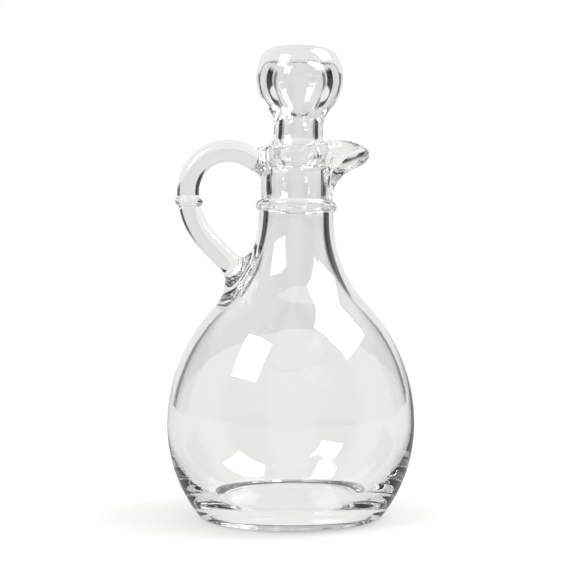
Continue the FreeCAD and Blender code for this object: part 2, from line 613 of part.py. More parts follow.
def handle_bead(body):
    """The bead round the handle, square to the handle's line where it sits."""
    drop, sweep = VALUES["handle_bead_drop"], VALUES["handle_sweep"]
    inward = "(Sizes.handle_sweep - sqrt(Sizes.handle_sweep ^ 2 - Sizes.handle_bead_drop ^ 2))"
    bead_x = f"{HANDLE_CENTRE_X} - Sizes.handle_bend + {inward}"
    bead_z = f"{HANDLE_CENTRE_Z} - Sizes.handle_bead_drop"
    tilt = -math.degrees(math.asin(drop / sweep))
    section = new_sketch(body, "XY_Plane", "HandleBeadSection")
    section.AttachmentOffset = FreeCAD.Placement(
        FreeCAD.Vector(number(bead_x), 0, number(bead_z)), FreeCAD.Rotation(FreeCAD.Vector(0, 1, 0), tilt)
    )
    section.setExpression(".AttachmentOffset.Base.x", bead_x)
    section.setExpression(".AttachmentOffset.Base.z", bead_z)
    section.setExpression(".AttachmentOffset.Rotation.Angle", "-asin(Sizes.handle_bead_drop / Sizes.handle_sweep)")
    outward = "2 * Sizes.handle_bead_reach"
    oval(section, "bead", f"Sizes.handle_thickness + {outward}", f"Sizes.handle_width + {outward}")
    bead = body.newObject("PartDesign::Pad", "HandleBead")
    bead.Profile = section
    bead.setExpression("Length", "Sizes.handle_bead_height")
    bead.Midplane = True
    doc.recompute()
    middle = number(bead_z)
    half = VALUES["handle_bead_height"] / 2
    edges = edges_where(
        bead.Shape,
        lambda box: abs(box.Center.z - middle) < 2 * half
        and box.Center.x < number(HANDLE_CENTRE_X)
        and box.YLength > VALUES["handle_width"] + VALUES["handle_bead_reach"],
    )
    return fillet(body, bead, "HandleBeadRounding", edges, "Sizes.handle_bead_rounding")


def push_up(body):
    """The shallow hollow under the foot. It leaves a flat ring to stand on."""
    sketch = new_sketch(body, "XZ_Plane", "PushUpOutline")
    edge = VALUES["foot_radius"] - VALUES["bearing_width"]
    depth = VALUES["push_up_depth"]
    chain = Outline(sketch, 0, 0)
    chain.line("mouth", x="Sizes.foot_radius - Sizes.bearing_width", z="0", guess=(edge, 0))
    chain.pin("axis_foot", chain.first, "0", "0")
    chain.line("slope", x="Sizes.foot_radius - 2 * Sizes.bearing_width", z="Sizes.push_up_depth")
    chain.line("roof", x="0", guess=(0, depth), way="Horizontal")
    chain.close()
    revolve(body, sketch, "PushUp", kind="Groove")


def glass_form():
    body = doc.addObject("PartDesign::Body", "GlassForm")
    bowl(body, "Sizes.bulb_radius", "0", "Sizes.foot_radius", "Sizes.foot_corner")
    trim_bowl(body, "Sizes.bulb_radius")
    glass_shoulder(body)
    spout(body)
    handle(body)
    handle_web(body)
    handle_bead(body)
    push_up(body)
    return body


def cavity_form():
    belt = "Sizes.bulb_radius - Sizes.wall"
    body = doc.addObject("PartDesign::Body", "CavityForm")
    bowl(body, belt, "Sizes.floor_level", "Sizes.floor_radius", "Sizes.floor_corner")
    trim_bowl(body, belt)
    cavity_shoulder(body)
    channel(body)
    return body


def bottle():
    hollowed = doc.addObject("Part::Cut", "Bottle")
    hollowed.Base = glass_form()
    hollowed.Tool = cavity_form()
    hollowed.Label = "bottle"
    doc.recompute()
    return hollowed


# ---------------------------------------------------------------- the stopper


def knob_chain(body, name, top, knob, waist, waist_curve, waist_foot):
    """Starts a leaning outline: a flat top, the knob's ball, the hollow curve under it and the waist."""
    sketch = leaning_sketch(body, name)
    top_z, ball, waist_x, curve = (number(text) for text in (top, knob, waist, waist_curve))
    centre_z = number(above_pivot(KNOB_LEVEL))
    top_x = math.sqrt(ball**2 - (top_z - centre_z) ** 2)
    curve_centre = (
        waist_x + curve,
        centre_z - math.sqrt((ball + curve) ** 2 - (waist_x + curve) ** 2),
    )
    share = ball / (ball + curve)
    ball_end = (curve_centre[0] * share, centre_z + (curve_centre[1] - centre_z) * share)

    chain = Outline(sketch, 0, top_z)
    chain.line("top", z=top, guess=(top_x, top_z), way="Horizontal")
    chain.pin("axis_top", chain.first, "0", None)
    knob_arc = chain.arc("knob", (0, centre_z), ball_end, radius=knob, clockwise=True)
    chain.pin("knob_centre", (knob_arc, Outline.CENTRE), "0", above_pivot(KNOB_LEVEL))
    chain.arc("under_knob", curve_centre, (waist_x, curve_centre[1]), radius=waist_curve, smooth=True)
    chain.line("waist", x=waist, z=waist_foot, smooth=True, way="Vertical")
    return chain


def stopper_outside(body):
    chain = knob_chain(
        body,
        "StopperOutline",
        above_pivot(STOPPER_TOP),
        "Sizes.knob_radius",
        WAIST_RADIUS,
        "Sizes.waist_curve",
        above_pivot(WAIST_LOW_LEVEL),
    )
    plug_top_x = f"{SEAT_TOP_BORE} - Sizes.seat_clearance"
    seat_height = "(Sizes.seat_low_drop - Sizes.seat_top_drop)"
    seat_slope = f"(Sizes.seat_top_step + Sizes.seat_low_step) / {seat_height}"
    plug_foot_x = f"{plug_top_x} - (Sizes.plug_foot_drop - Sizes.seat_top_drop) * {seat_slope}"
    curve = VALUES["skirt_curve"]
    waist_x, waist_z = chain.here
    side = curve - (number(plug_top_x) - waist_x)
    skirt_end = (number(plug_top_x), waist_z - math.sqrt(curve**2 - side**2))
    chain.arc(
        "skirt", (waist_x + curve, waist_z), skirt_end, radius="Sizes.skirt_curve", smooth=True, x=plug_top_x
    )
    chain.line("plug_side", z=above_pivot(SEAT_TOP_LEVEL), way="Vertical")
    chain.line("plug", x=plug_foot_x, z=above_pivot(PLUG_FOOT_LEVEL))
    chain.line("plug_foot", x="0", guess=(0, chain.here[1]), way="Horizontal")
    chain.close()
    outside = revolve(body, chain.sketch, "StopperForm")
    top_edge = edges_where(outside.Shape, lambda box: box.ZMin > number(STOPPER_TOP) - 1)
    rounded = fillet(body, outside, "TopRounding", top_edge, "Sizes.top_rounding")
    foot_edge = edges_where(rounded.Shape, lambda box: box.ZMax < number(PLUG_FOOT_LEVEL) + 1)
    fillet(body, rounded, "PlugRounding", foot_edge, "Sizes.plug_rounding")


def stopper_hollow(body):
    chain = knob_chain(
        body,
        "HollowOutline",
        f"{above_pivot(STOPPER_TOP)} - Sizes.top_wall",
        "Sizes.knob_radius - Sizes.knob_wall",
        f"{WAIST_RADIUS} - Sizes.waist_wall",
        "Sizes.waist_curve",
        above_pivot(WAIST_LOW_LEVEL),
    )
    chain.line("plug_bore", x=f"{SEAT_LOW_BORE} - Sizes.plug_bore_step", z=above_pivot(PLUG_FOOT_LEVEL))
    chain.line("below", z=f"{above_pivot(PLUG_FOOT_LEVEL)} - {CUT_MARGIN}", way="Vertical")
    chain.line("open_foot", x="0", guess=(0, chain.here[1]), way="Horizontal")
    chain.close()
    revolve(body, chain.sketch, "StopperHollow", kind="Groove")


def stopper():
    body = doc.addObject("PartDesign::Body", "Stopper")
    body.Label = "stopper"
    stopper_outside(body)
    stopper_hollow(body)
    return body


# ---------------------------------------------------------------- checks and files


def check_document():
    for item in doc.Objects:
        if "Invalid" in item.State or "Error" in item.State:
            raise RuntimeError(f"{item.Name} did not build: {item.State}")


def check_and_write(piece):
    shape = piece.Shape
    if shape.isNull() or not shape.isValid() or len(shape.Solids) != 1:
        raise RuntimeError(f"{piece.Label} is not one sound solid")
    shape.exportStep(f"parts/{piece.Label}.step")
    print(piece.Label, "volume", round(shape.Volume), "mm3")


pieces = [bottle(), stopper()]
for piece in pieces:
    piece.Placement = FreeCAD.Placement()
doc.recompute()
check_document()
os.makedirs("parts", exist_ok=True)
for piece in pieces:
    check_and_write(piece)
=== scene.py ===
"""Clear glass oil cruet: a round bottle with a spout and a side handle, and its hollow stopper.

Run as a script in Blender. Sizes are in millimetres in the settings and in metres in the scene.
"""

import math

import bmesh
import bpy
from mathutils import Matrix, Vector


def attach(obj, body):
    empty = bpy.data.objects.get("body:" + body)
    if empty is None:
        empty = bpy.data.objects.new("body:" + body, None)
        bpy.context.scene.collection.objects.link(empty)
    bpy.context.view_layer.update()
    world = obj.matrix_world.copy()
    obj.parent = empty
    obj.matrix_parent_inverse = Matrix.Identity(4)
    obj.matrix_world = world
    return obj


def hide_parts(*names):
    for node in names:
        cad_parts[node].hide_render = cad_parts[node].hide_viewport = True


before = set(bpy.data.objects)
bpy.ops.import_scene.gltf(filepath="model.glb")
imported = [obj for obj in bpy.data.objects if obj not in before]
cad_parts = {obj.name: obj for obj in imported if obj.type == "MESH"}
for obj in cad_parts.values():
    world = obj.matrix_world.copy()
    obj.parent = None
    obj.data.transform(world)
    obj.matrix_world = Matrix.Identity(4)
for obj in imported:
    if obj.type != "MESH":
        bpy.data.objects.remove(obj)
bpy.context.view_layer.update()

bl_info = {
    "name": "Glass Oil Cruet",
    "version": (1, 0, 0),
    "blender": (4, 5, 0),
    "location": "View3D > Sidebar > Cruet",
    "description": "Builds a clear glass cruet with its stopper, and a plain studio round it",
    "category": "Add Mesh",
}

MM = 0.001
COLUMNS = 32  # upright columns of faces round the glass
HANDLE_COLUMNS = 2  # columns each side of the handle's plane that its joints take up
JOINT_ROWS = 6  # rows of faces that each joint takes up
RING = 4 * HANDLE_COLUMNS + 2 * JOINT_ROWS  # points round the handle
SMOOTHING = 2  # times that the finished surface is divided
WALL_STEP = 4.6  # mm between rows of faces on the bulb and the shoulder's inside
RISE_STEP = 4.4  # mm between rows on the shoulder's outside
BEAD_STEP = 0.85  # mm between rows on the bead
KNOB_STEP = 2.6  # mm between rows on the stopper's knob
ROOT_DEPTH = 7.2  # mm from the rim down to the middle of the handle, where it leaves the neck
HANDLE_ROOT_X, HANDLE_FOOT_X = -9.5, -19.0  # mm, where the ends of the handle's middle line lie in the glass
HANDLE_FOOT_Z = 97.0  # mm
HANDLE_JOINT_Z = 97.8  # mm, the middle of the opening in the shoulder that takes the handle


# ---------------------------------------------------------------- settings


def length(name, default, description):
    """A size in millimetres for the sidebar."""
    return bpy.props.FloatProperty(name=name, default=default, description=description, min=0.0)


class CruetBottleSettings(bpy.types.PropertyGroup):
    """Sizes of the bottle."""

    bulb_radius: length("Bulb radius", 50.05, "Outside radius at the widest level, in mm")
    bulb_level: length("Bulb level", 37.5, "Height of the widest level, in mm")
    foot_radius: length("Foot radius", 35.0, "Radius of the circle that the bottle stands on, in mm")
    foot_corner: length("Foot corner", 3.2, "Rounding between the foot and the wall, in mm")
    push_up: length("Push-up", 0.9, "Hollow under the foot, in mm")
    shoulder: length("Shoulder curve", 69.5, "Radius of the shoulder's curve, seen from the side, in mm")
    sweep: length("Neck sweep", 49.0, "Radius of the hollow curve from shoulder to neck, in mm")
    neck_radius: length("Neck radius", 15.2, "Outside radius of the neck below its bead, in mm")
    bead_level: length("Bead level", 125.8, "Height of the bead round the neck, in mm")
    bead_radius: length("Bead radius", 2.2, "Radius of the bead's round, in mm")
    bead_reach: length("Bead reach", 16.55, "Outside radius of the bead, in mm")
    collar_radius: length("Collar radius", 14.5, "Outside radius of the neck just above its bead, in mm")
    collar_top_radius: length("Collar top radius", 15.0, "Outside radius of the neck just under the rim, in mm")
    rim_level: length("Rim level", 149.3, "Height of the rim, in mm")
    rim_depth: length("Rim depth", 6.4, "Height of the thickened rim, in mm")
    rim_radius: length("Rim radius", 16.85, "Outside radius of the rim, in mm")
    wall: length("Wall", 3.0, "Glass thickness of the bulb, in mm")
    floor_level: length("Floor level", 4.0, "Height of the inside floor, in mm")
    floor_radius: length("Floor radius", 27.0, "Radius of the flat part of the inside floor, in mm")
    floor_corner: length("Floor corner", 8.0, "Rounding between the inside floor and the wall, in mm")
    bore: length("Bore", 11.6, "Inside radius of the neck below its bead, in mm")
    throat: length("Throat", 10.7, "Inside radius at the narrowest place, in mm")
    lean: bpy.props.FloatProperty(
        name="Lean", default=math.radians(1.5), subtype="ANGLE", description="Lean of the neck towards the spout"
    )


class CruetHandleSettings(bpy.types.PropertyGroup):
    """Sizes of the handle."""

    centre_x: length("Bend centre", 25.5, "Distance of the upper bend's centre from the middle of the foot, in mm")
    centre_z: length("Bend level", 132.3, "Height of the upper bend's centre, in mm")
    bend: length("Upper bend", 16.3, "Radius of the upper bend, in mm")
    sweep: length("Lower bend", 30.5, "Radius of the lower bend, in mm")
    slope: bpy.props.FloatProperty(
        name="Slope", default=math.radians(45), subtype="ANGLE", description="Slope at which it meets the shoulder"
    )
    thickness: length("Thickness", 9.0, "Thickness seen from the side, in mm")
    width: length("Width", 10.3, "Thickness seen from the end, in mm")
    bead_drop: length("Bead drop", 4.6, "Distance of the handle's bead below the bend's centre, in mm")
    bead_height: length("Bead height", 2.6, "Height of the handle's bead, in mm")
    bead_reach: length("Bead reach", 1.05, "How far the handle's bead stands out, in mm")


class CruetStopperSettings(bpy.types.PropertyGroup):
    """Sizes of the stopper."""

    knob_radius: length("Knob radius", 17.8, "Outside radius of the knob, in mm")
    knob_level: length("Knob level", 178.0, "Height of the knob's widest place, in mm")
    top_level: length("Top level", 189.3, "Height of the flat top, in mm")
    waist: length("Waist", 10.0, "Outside radius of the stopper's neck, in mm")
    waist_curve: length("Waist curve", 12.0, "Radius of the hollow curve under the knob, in mm")
    knob_wall: length("Knob wall", 6.8, "Glass thickness of the knob at its widest, in mm")
    hollow_level: length("Hollow level", 177.0, "Height of the widest place of the knob's hollow, in mm")
    hollow_curve: length("Hollow's waist curve", 20.0, "Radius of the hollow's own curve under the knob, in mm")
    top_wall: length("Top wall", 6.6, "Glass thickness of the top, in mm")
    waist_bore: length("Waist bore", 6.5, "Inside radius of the stopper's neck, in mm")
    plug_top: length("Plug top", 12.1, "Radius of the plug's upper end, in mm")
    plug_top_level: length("Plug top level", 147.0, "Height of the plug's upper end, in mm")
    plug_foot: length("Plug foot", 11.0, "Radius of the plug's lower end, in mm")
    plug_foot_level: length("Plug foot level", 141.1, "Height of the plug's lower end, in mm")
    plug_bore: length("Plug bore", 8.0, "Inside radius at the plug's lower end, in mm")


class CruetFinishSettings(bpy.types.PropertyGroup):
    """Colours of the glass and the studio."""

    glass: bpy.props.StringProperty(name="Glass", default="#FDFDFC", description="Colour of the glass, sRGB hex")
    deep_glass: bpy.props.StringProperty(
        name="Deep glass", default="#101210", description="Colour that very thick glass tends to, sRGB hex"
    )
    shadow: bpy.props.StringProperty(
        name="Shadow", default="#E4E4E3", description="Light that one skin of glass lets through, sRGB hex"
    )
    floor: bpy.props.StringProperty(name="Floor", default="#DCDCDB", description="Colour of the table, sRGB hex")


# ---------------------------------------------------------------- outlines


def arc(centre, radius, start, end, step):
    """Points along an arc, both ends included, about one step apart. Angles are in radians."""
    count = max(1, round(abs(end - start) * radius / step))
    return [
        (centre[0] + radius * math.cos(start + (end - start) * k / count),
         centre[1] + radius * math.sin(start + (end - start) * k / count))
        for k in range(count + 1)
    ]


def straight(start, end, count):
    """Points along a line, both ends included."""
    return [tuple(a + (b - a) * k / count for a, b in zip(start, end)) for k in range(count + 1)]


def joined(*parts):
    """One outline from several, with the shared ends taken once."""
    points = []
    for part in parts:
        points += [p for p in part if not points or math.dist(p, points[-1]) > 0.05]
    return points


def bowl_outline(ball, level, base, flat, corner, step):
    """From the flat base round its corner and up one long curve to the widest level."""
    centre = (flat, base + corner)
    across = (ball - centre[0], level - centre[1])
    radius = (across[0] ** 2 + across[1] ** 2 - corner**2) / (2 * (across[0] - corner))
    middle = (ball - radius, level)
    turn = math.atan2(centre[1] - middle[1], centre[0] - middle[0])
    return joined(
        arc(centre, corner, -math.pi / 2, turn, min(step, corner * 0.4)),
        arc(middle, radius, turn, 0.0, step),
    )


def shoulder_outline(ball, level, shoulder, sweep, neck, step):
    """From the widest level over the shoulder and up the hollow sweep to the neck."""
    middle = (ball - shoulder, level)
    side = neck + sweep - middle[0]
    hollow = (neck + sweep, level + math.sqrt((shoulder + sweep) ** 2 - side**2))
    turn = math.atan2(hollow[1] - middle[1], hollow[0] - middle[0])
    return joined(
        arc(middle, shoulder, 0.0, turn, step),
        arc(hollow, sweep, turn + math.pi, math.pi, step),
    )


def outer_outline(s):
    """The outside of the bottle, from the middle of the foot to the top of the rim."""
    foot = [(2.0, s.push_up), (12.0, s.push_up), (s.foot_radius - 10, s.push_up * 0.85)]
    foot += [(s.foot_radius - 6.5, s.push_up * 0.35), (s.foot_radius - 4.5, 0.0), (s.foot_radius - 1.5, 0.0)]
    bowl = bowl_outline(s.bulb_radius, s.bulb_level, 0.0, s.foot_radius, s.foot_corner, WALL_STEP)
    rise = shoulder_outline(s.bulb_radius, s.bulb_level, s.shoulder, s.sweep, s.neck_radius, RISE_STEP)
    middle = (s.bead_reach - s.bead_radius, s.bead_level)
    low = -math.acos((s.neck_radius - middle[0]) / s.bead_radius)
    high = math.acos((s.collar_radius - middle[0]) / s.bead_radius)
    bead = arc(middle, s.bead_radius, low, high, BEAD_STEP)
    neck = straight((s.neck_radius, rise[-1][1]), (s.neck_radius, bead[0][1] - 0.5), 2)
    rim_foot = s.rim_level - s.rim_depth
    collar = [(s.collar_radius + 0.05, bead[-1][1] + 0.5)]
    for share in (0.25, 0.5, 0.68):
        collar.append(tuple(a + (b - a) * share for a, b in zip(collar[0], (s.collar_top_radius, rim_foot))))
    rim = [
        (s.collar_top_radius, rim_foot - 3.4),
        (s.collar_top_radius + 0.3, rim_foot - 2.0),
        (s.rim_radius - 0.5, rim_foot - 0.8),
        (s.rim_radius - 0.2, rim_foot + 0.6),
        (s.rim_radius - 0.1, rim_foot + 2.8),
        (s.rim_radius, s.rim_level - 1.5),
        (s.rim_radius - 0.15, s.rim_level - 0.5),
        (s.rim_radius - 0.9, s.rim_level),
    ]
    return joined(foot, bowl, rise, neck, bead, collar, rim)


def inner_outline(s):
    """The inside of the bottle, from the mouth down to the middle of the floor."""
    ball = s.bulb_radius - s.wall
    mouth = [(14.5, s.rim_level - 0.05), (13.4, s.rim_level - 0.4), (12.8, s.rim_level - 1.3)]
    seat = [(12.42, 147.0), (12.1, 145.4), (11.8, 143.6), (11.4, 141.6), (11.15, 139.7), (11.05, 138.4)]
    throat = [(s.throat + 0.12, 135.5), (s.throat, 132.4), (s.throat + 0.2, 130.0)]
    throat += [(s.bore - 0.3, 127.8), (s.bore, 126.0)]
    sweep = s.sweep + s.neck_radius - s.bore
    rise = shoulder_outline(ball, s.bulb_level, s.shoulder - s.wall, sweep, s.bore, WALL_STEP)
    neck = straight((s.bore, 123.5), (s.bore, rise[-1][1]), 2)
    bowl = bowl_outline(ball, s.bulb_level, s.floor_level, s.floor_radius, s.floor_corner, WALL_STEP)
    # The floor rises a little towards its middle.
    crown = ((24.5, 0.0), (20.0, 0.2), (13.0, 0.5), (6.0, 0.7), (2.0, 0.7))
    floor = [(radius, s.floor_level + lift) for radius, lift in crown]
    return joined(mouth, seat, throat, neck, rise[::-1], bowl[::-1], floor)


# ---------------------------------------------------------------- the bottle


def blend(value, low, high):
    """0 below low, 1 above high and a smooth step between."""
    t = min(1.0, max(0.0, (value - low) / (high - low)))
    return t * t * (3 - 2 * t)


def place(radius, angle, height, s):
    """A point in mm. Above the widest level the glass turns about the middle of the bulb by the lean."""
    x, y = radius * math.cos(angle), radius * math.sin(angle)
    turn = s.lean * blend(height, s.bulb_level - 3, s.bulb_level + 3)
    up = height - s.bulb_level
    return Vector((
        x * math.cos(turn) + up * math.sin(turn), y, s.bulb_level + up * math.cos(turn) - x * math.sin(turn)
    ))


# How many degrees a column moves at each end of the handle, by its number from the handle's middle.
FOOT_COLUMNS = ((0, 0.0), (1, 1.3), (2, 1.5), (3, -3.0), (4, -5.0), (6, -4.0), (10, 0.0))
ROOT_COLUMNS = ((0, 0.0), (1, -0.7), (2, -1.6), (3, -7.0), (4, -7.5), (6, -5.0), (9, 0.0))


def column_angle(column, height):
    """The angle of a column. By the ends of the handle the columns draw together to its width."""
    step = 2 * math.pi / COLUMNS
    away = abs(column - COLUMNS // 2)
    foot = blend(height, 80, 92) * (1 - blend(height, 103, 114))
    root = blend(height, 131, 136)
    drawn = step_through(FOOT_COLUMNS, away) * foot + step_through(ROOT_COLUMNS, away) * root
    angle = away * step + math.radians(drawn)
    return math.pi + math.copysign(angle, column - COLUMNS // 2)


SPOUT_EDGE = (
    # degrees from the spout's middle, x and y of the edge beside the neck's axis, its height above the rim
    (0.0, 29.3, 0.0, -0.9),
    (11.25, 28.5, 3.2, 0.0),
    (22.5, 25.9, 5.8, 1.8),
    (33.75, 21.6, 7.7, 2.9),
    (45.0, 17.0, 9.4, 2.8),
    (56.25, 12.4, 11.4, 2.0),
    (67.5, 7.8, 14.0, 1.0),
    (78.75, 3.3, 16.3, 0.3),
)


def spout_shift(column, rim_radius):
    """How far a column's rim moves to form the spout, in mm, or None where the rim stays round."""
    away = min(column, COLUMNS - column)
    if away >= len(SPOUT_EDGE):
        return None
    angle, x, y, rise = SPOUT_EDGE[away]
    turn = math.radians(angle)
    side = -1 if column > COLUMNS / 2 else 1
    return Vector((x - rim_radius * math.cos(turn), side * (y - rim_radius * math.sin(turn)), rise))


def outer_pull(height, away):
    """Share of the spout's shift that the outside takes, at a height and an angle from the spout's middle."""
    low = 132.5 + 8.5 * blend(away, 0, 40)
    marks = ((0.0, 0.0), (0.27, 0.14), (0.52, 0.37), (0.73, 0.66), (0.85, 0.86), (1.0, 1.0))
    return step_through(marks, (height - low) / (145.6 - low))


def inner_pull(height):
    """Share of the spout's shift that the inside takes at a height."""
    marks = ((142.0, 0.0), (143.6, 0.08), (145.4, 0.28), (147.0, 0.50), (148.5, 0.78), (149.2, 0.96))
    return step_through(marks, height)


def step_through(marks, value):
    """The number that belongs to a value, on straight lines between marks."""
    if value <= marks[0][0]:
        return marks[0][1]
    for (a, fa), (b, fb) in zip(marks, marks[1:]):
        if value <= b:
            return fa + (fb - fa) * (value - a) / (b - a)
    return marks[-1][1]


def bottle_rows(s):
    """Rings of points in mm, outside from foot to rim and then inside from rim to floor.

    The inside is slightly uneven, as blown glass is. Towards the spout both sides are pulled outwards.
    """
    rows = []
    swell = 3 / (2 + math.cos(2 * math.pi / COLUMNS))  # a smoothed ring comes out smaller than its cage
    for inside, outline in ((False, outer_outline(s)), (True, inner_outline(s))):
        for radius, height in outline:
            ring = []
            for column in range(COLUMNS):
                angle = column_angle(column, height)
                uneven = 0.0
                if inside:
                    waves = math.sin(2 * angle + 0.9 + height * 0.045) + 0.7 * math.sin(3 * angle - height * 0.07)
                    uneven = 0.16 * blend(height, 4, 20) * (1 - blend(height, 100, 130)) * waves
                point = place((radius + uneven) * swell, angle, height, s)
                shift = spout_shift(column, s.rim_radius)
                away = min(column, COLUMNS - column) * 360 / COLUMNS
                pull = inner_pull(height) if inside else outer_pull(height, away)
                if shift and pull:
                    level = blend(height, 140, 147) if not inside else 1.0
                    point += Vector((shift.x * pull, shift.y * pull, shift.z * pull * level))
                ring.append(point)
            rows.append((height, inside, ring))
    return rows


BEAD_ROWS = (-1.9, -1.25, -0.95, -0.5, 0.5, 0.95, 1.25, 1.9)  # rings at the handle's bead, in halves of its height


def handle_line(h, root, foot):
    """Points and directions down the middle of the handle, as (x, z, tangent angle), from neck to shoulder."""
    x, z = -h.centre_x, h.centre_z
    away = math.dist(root, (x, z))
    turn = math.atan2(root[1] - z, root[0] - x) + math.acos(h.bend / away)
    bend_start = (x + h.bend * math.cos(turn), z + h.bend * math.sin(turn))
    line = []
    for share in (0.45, 0.8):
        point = tuple(a + (b - a) * share for a, b in zip(root, bend_start))
        line.append((*point, turn + math.pi / 2))
    count = round(h.bend * (math.pi - turn) / 4.2)
    for k in range(count + 1):
        a = turn + (math.pi - turn) * k / count
        line.append((x + h.bend * math.cos(a), z + h.bend * math.sin(a), a + math.pi / 2))
    middle = (x - h.bend + h.sweep, z)
    bead = math.asin(h.bead_drop / h.sweep)
    half = h.bead_height / 2 / h.sweep
    ring_rows = [(a, -math.pi / 2) for a in (bead + half * k for k in BEAD_ROWS)]
    rest = h.slope - ring_rows[-1][0]
    count = round(h.sweep * rest / 3.6)
    ring_rows += [(a, a - math.pi / 2) for a in (ring_rows[-1][0] + rest * (k + 1) / count for k in range(count))]
    for a, heading in ring_rows:
        line.append((middle[0] - h.sweep * math.cos(a), middle[1] - h.sweep * math.sin(a), heading))
    start = line[-1]
    for share in (0.25, 0.5, 0.75):
        line.append((start[0] + (foot[0] - start[0]) * share, start[1] + (foot[1] - start[1]) * share, start[2]))
    return line, (middle, bead, half)


def handle_ring(h, x, z, heading, grow):
    """Points round the handle in mm. The first lies between +Y and the outer side."""
    swell = 3 / (2 + math.cos(2 * math.pi / RING))
    outward = Vector((-math.sin(heading), 0, math.cos(heading))) * -1
    wide, thick = (h.width / 2 + grow) * swell, (h.thickness / 2 + grow) * swell
    ring = []
    for k in range(RING):
        t = math.pi / 2 + (k - HANDLE_COLUMNS) * 2 * math.pi / RING
        ring.append(Vector((x, 0, z)) + Vector((0, wide * math.cos(t), 0)) + outward * thick * math.sin(t))
    return ring


def joint_loop(grid, first, upper_is_outer):
    """The points round an opening, in the order of the handle's rings. It starts at +Y on the outer side."""
    half = COLUMNS // 2
    low, high = first, first + JOINT_ROWS
    outer, inner = (high, low) if upper_is_outer else (low, high)
    step = 1 if inner > outer else -1
    plus, minus = half - HANDLE_COLUMNS, half + HANDLE_COLUMNS
    loop = [grid[outer][c] for c in range(plus, minus)]
    loop += [grid[r][minus] for r in range(outer, inner, step)]
    loop += [grid[inner][c] for c in range(minus, plus, -1)]
    loop += [grid[r][plus] for r in range(inner, outer, -step)]
    return loop


def nearest_row(rows, height):
    """The number of the outside row that lies nearest to a height above the bulb."""
    outside = [k for k, row in enumerate(rows) if not row[1] and row[0] > 60]
    return min(outside, key=lambda k: abs(rows[k][0] - height))


def band(mesh, first, second):
    """A band of faces between two rings."""
    count = len(first)
    for k in range(count):
        mesh.faces.new((first[k], first[(k + 1) % count], second[(k + 1) % count], second[k]))


def finish_mesh(mesh, name):
    """Makes the object in metres, with its subdivided surface as its mesh."""
    bmesh.ops.recalc_face_normals(mesh, faces=mesh.faces)
    data = bpy.data.meshes.new(name)
    bmesh.ops.scale(mesh, verts=mesh.verts, vec=(MM, MM, MM))
    mesh.to_mesh(data)
    mesh.free()
    for polygon in data.polygons:
        polygon.use_smooth = True
    thing = bpy.data.objects.new(name, data)
    bpy.context.scene.collection.objects.link(thing)
    smooth = thing.modifiers.new("Smooth glass", "SUBSURF")
    smooth.levels = smooth.render_levels = SMOOTHING
    seen = thing.evaluated_get(bpy.context.evaluated_depsgraph_get())
    thing.data = bpy.data.meshes.new_from_object(seen)
    thing.modifiers.clear()
    thing.data.name = name
    return thing


class CRUET_OT_bottle(bpy.types.Operator):
    """Build the bottle with its spout and handle as one piece of glass"""

    bl_idname = "cruet.bottle"
    bl_label = "Bottle"

    def execute(self, context):
        s, h = context.scene.cruet_bottle, context.scene.cruet_handle
        rows = bottle_rows(s)
        mesh = bmesh.new()
        grid = [[mesh.verts.new(point) for point in ring] for height, inside, ring in rows]
        root_row = nearest_row(rows, s.rim_level - 1.5) - JOINT_ROWS
        foot_row = nearest_row(rows, HANDLE_JOINT_Z) - JOINT_ROWS // 2
        half = COLUMNS // 2
        for r in range(len(grid) - 1):
            for c in range(COLUMNS):
                in_joint = half - HANDLE_COLUMNS <= c < half + HANDLE_COLUMNS
                if in_joint and (0 <= r - root_row < JOINT_ROWS or 0 <= r - foot_row < JOINT_ROWS):
                    continue
                d = (c + 1) % COLUMNS
                mesh.faces.new((grid[r][c], grid[r][d], grid[r + 1][d], grid[r + 1][c]))
        mesh.faces.new(grid[0][::-1])
        mesh.faces.new(grid[-1])
        root = (HANDLE_ROOT_X, s.rim_level - ROOT_DEPTH)
        line, (middle, bead, bead_half) = handle_line(h, root, (HANDLE_FOOT_X, HANDLE_FOOT_Z))
        previous = joint_loop(grid, root_row, True)
        for x, z, heading in line:
            grow = 0.0
            if x < middle[0] - h.sweep * 0.7:
                along = abs(math.atan2(middle[1] - z, middle[0] - x) - bead) / bead_half
                grow = h.bead_reach * (1.1 if along < 0.6 else 0.75 if along < 1.1 else 0.0)
            ring = [mesh.verts.new(point) for point in handle_ring(h, x, z, heading, grow)]
            band(mesh, previous, ring)
            previous = ring
        band(mesh, previous, joint_loop(grid, foot_row, False))
        interior = [v for v in mesh.verts if not v.link_faces]
        bmesh.ops.delete(mesh, geom=interior, context="VERTS")
        bottle = finish_mesh(mesh, "cruet_bottle")
        bottle.data.materials.append(soda_lime_glass(context.scene.cruet_finish))
        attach(bottle, "root")
        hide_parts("bottle")
        return {"FINISHED"}


def knob_outline(ball, level, top, waist, curve, low):
    """From the middle of a flat top over the ball, round the hollow curve and down the waist."""
    edge = math.asin(min(1.0, (top - level) / ball))
    centre = (waist + curve, level - math.sqrt((ball + curve) ** 2 - (waist + curve) ** 2))
    turn = math.atan2(centre[1] - level, centre[0])
    flat = ball * math.cos(edge)
    return joined(
        [(1.5, top), (flat * 0.45, top), (flat * 0.8, top - 0.02), (flat - 1.3, top - 0.15)],
        arc((0.0, level), ball, edge - 0.07, turn, KNOB_STEP),
        arc(centre, curve, turn + math.pi, math.pi, KNOB_STEP * 0.7),
        [(waist, low)],
    )


